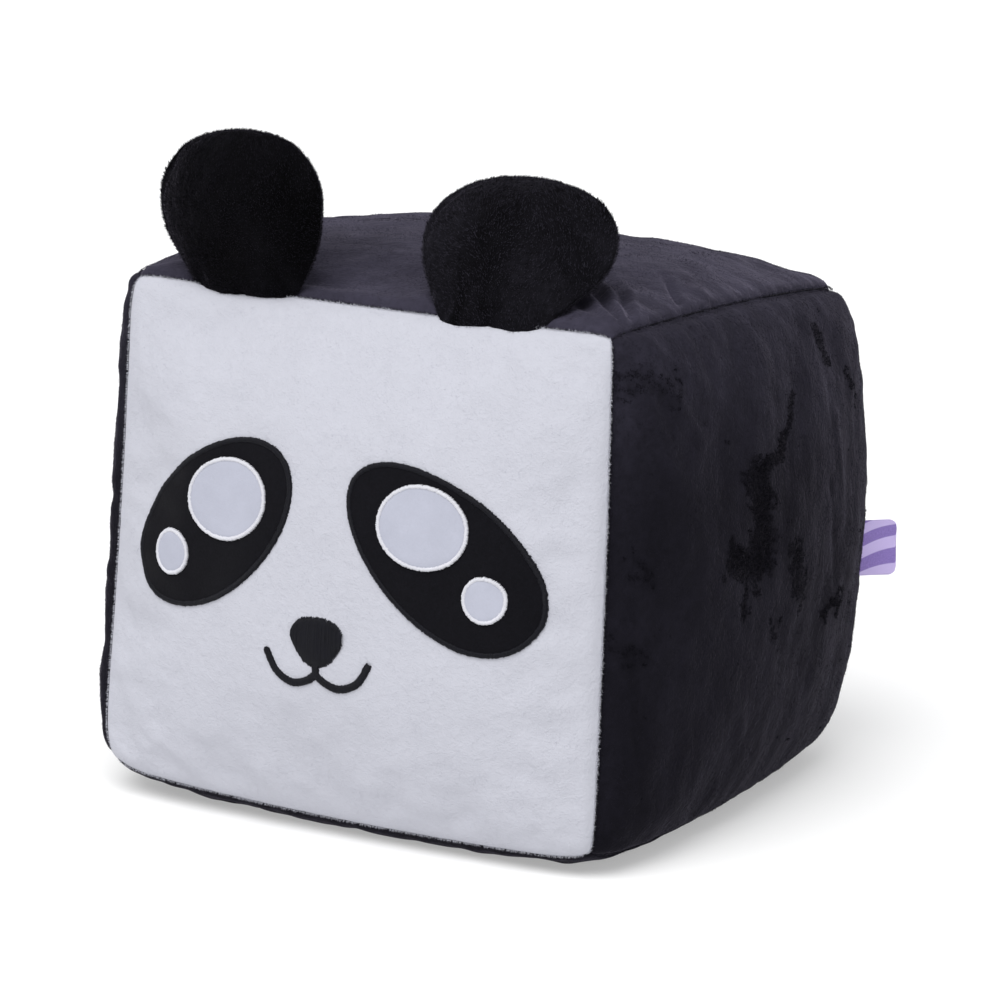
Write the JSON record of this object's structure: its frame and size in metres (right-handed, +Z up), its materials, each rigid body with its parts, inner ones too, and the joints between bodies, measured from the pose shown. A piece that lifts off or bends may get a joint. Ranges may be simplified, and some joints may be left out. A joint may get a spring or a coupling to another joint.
{
  "type": "plush panda",
  "caption": "Cube-shaped stuffed panda with six sewn plush panels, two stuffed folding ears, an appliqued and embroidered face and a woven seam label.",
  "frame": {"origin": "middle of the flat patch of the bottom panel that the toy sits on", "axes": "+Z up, the face looks along -Y, +X to the right as seen from the front; left and right in the node names are as seen from the front"},
  "size_m": [0.3225, 0.3224, 0.3199],
  "materials": {
    "fibrefill": "loose white polyester fibre",
    "white_plush": "short soft pile, slightly cool white",
    "black_plush": "short soft pile with a violet-grey sheen where it is brushed",
    "black_felt": "dense short nap, matt",
    "white_felt": "dense short nap, matt",
    "black_thread": "embroidery thread in satin stitch, soft gloss",
    "white_thread": "embroidery thread in satin stitch, soft gloss",
    "purple_ribbon": "woven satin ribbon with pale stripes"
  },
  "bodies": {
    "body": {"stuffing_core": "fibrefill", "face_panel": "white_plush", "back_panel": "black_plush", "left_panel": "black_plush", "right_panel": "black_plush", "top_panel": "black_plush", "bottom_panel": "black_plush", "face_seam_thread": "black_thread", "back_seam_thread": "black_thread", "top_left_seam_thread": "black_thread", "top_right_seam_thread": "black_thread", "bottom_left_seam_thread": "black_thread", "bottom_right_seam_thread": "black_thread", "left_eye_patch": "black_felt", "left_eye_patch_border": "black_thread", "left_eye_large_highlight": "white_felt", "left_eye_large_highlight_border": "white_thread", "left_eye_small_highlight": "white_felt", "left_eye_small_highlight_border": "white_thread", "right_eye_patch": "black_felt", "right_eye_patch_border": "black_thread", "right_eye_large_highlight": "white_felt", "right_eye_large_highlight_border": "white_thread", "right_eye_small_highlight": "white_felt", "right_eye_small_highlight_border": "white_thread", "nose_embroidery": "black_thread", "philtrum_embroidery": "black_thread", "mouth_embroidery": "black_thread"},
    "left_ear": {"left_ear_front_panel": "black_plush", "left_ear_back_panel": "black_plush", "left_ear_stuffing": "fibrefill"},
    "right_ear": {"right_ear_front_panel": "black_plush", "right_ear_back_panel": "black_plush", "right_ear_stuffing": "fibrefill"},
    "label": {"woven_label": "purple_ribbon"}
  },
  "joints": [
    {"name": "left_ear_fold", "type": "hinge", "parent": "body", "child": "left_ear", "pos_m": [-0.0633, -0.1187, 0.2454], "axis": [1, 0, 0], "range_deg": [-35, 80], "stiffness_Nm_per_rad": 0.05},
    {"name": "right_ear_fold", "type": "hinge", "parent": "body", "child": "right_ear", "pos_m": [0.0653, -0.1212, 0.2434], "axis": [1, 0, 0], "range_deg": [-4, 110], "stiffness_Nm_per_rad": 0.05},
    {"name": "label_flap", "type": "hinge", "parent": "body", "child": "label", "pos_m": [0.1338, 0.1337, 0.1034], "axis": [0, 0, 1], "range_deg": [-70, 70], "stiffness_Nm_per_rad": 0.0005}
  ]
}
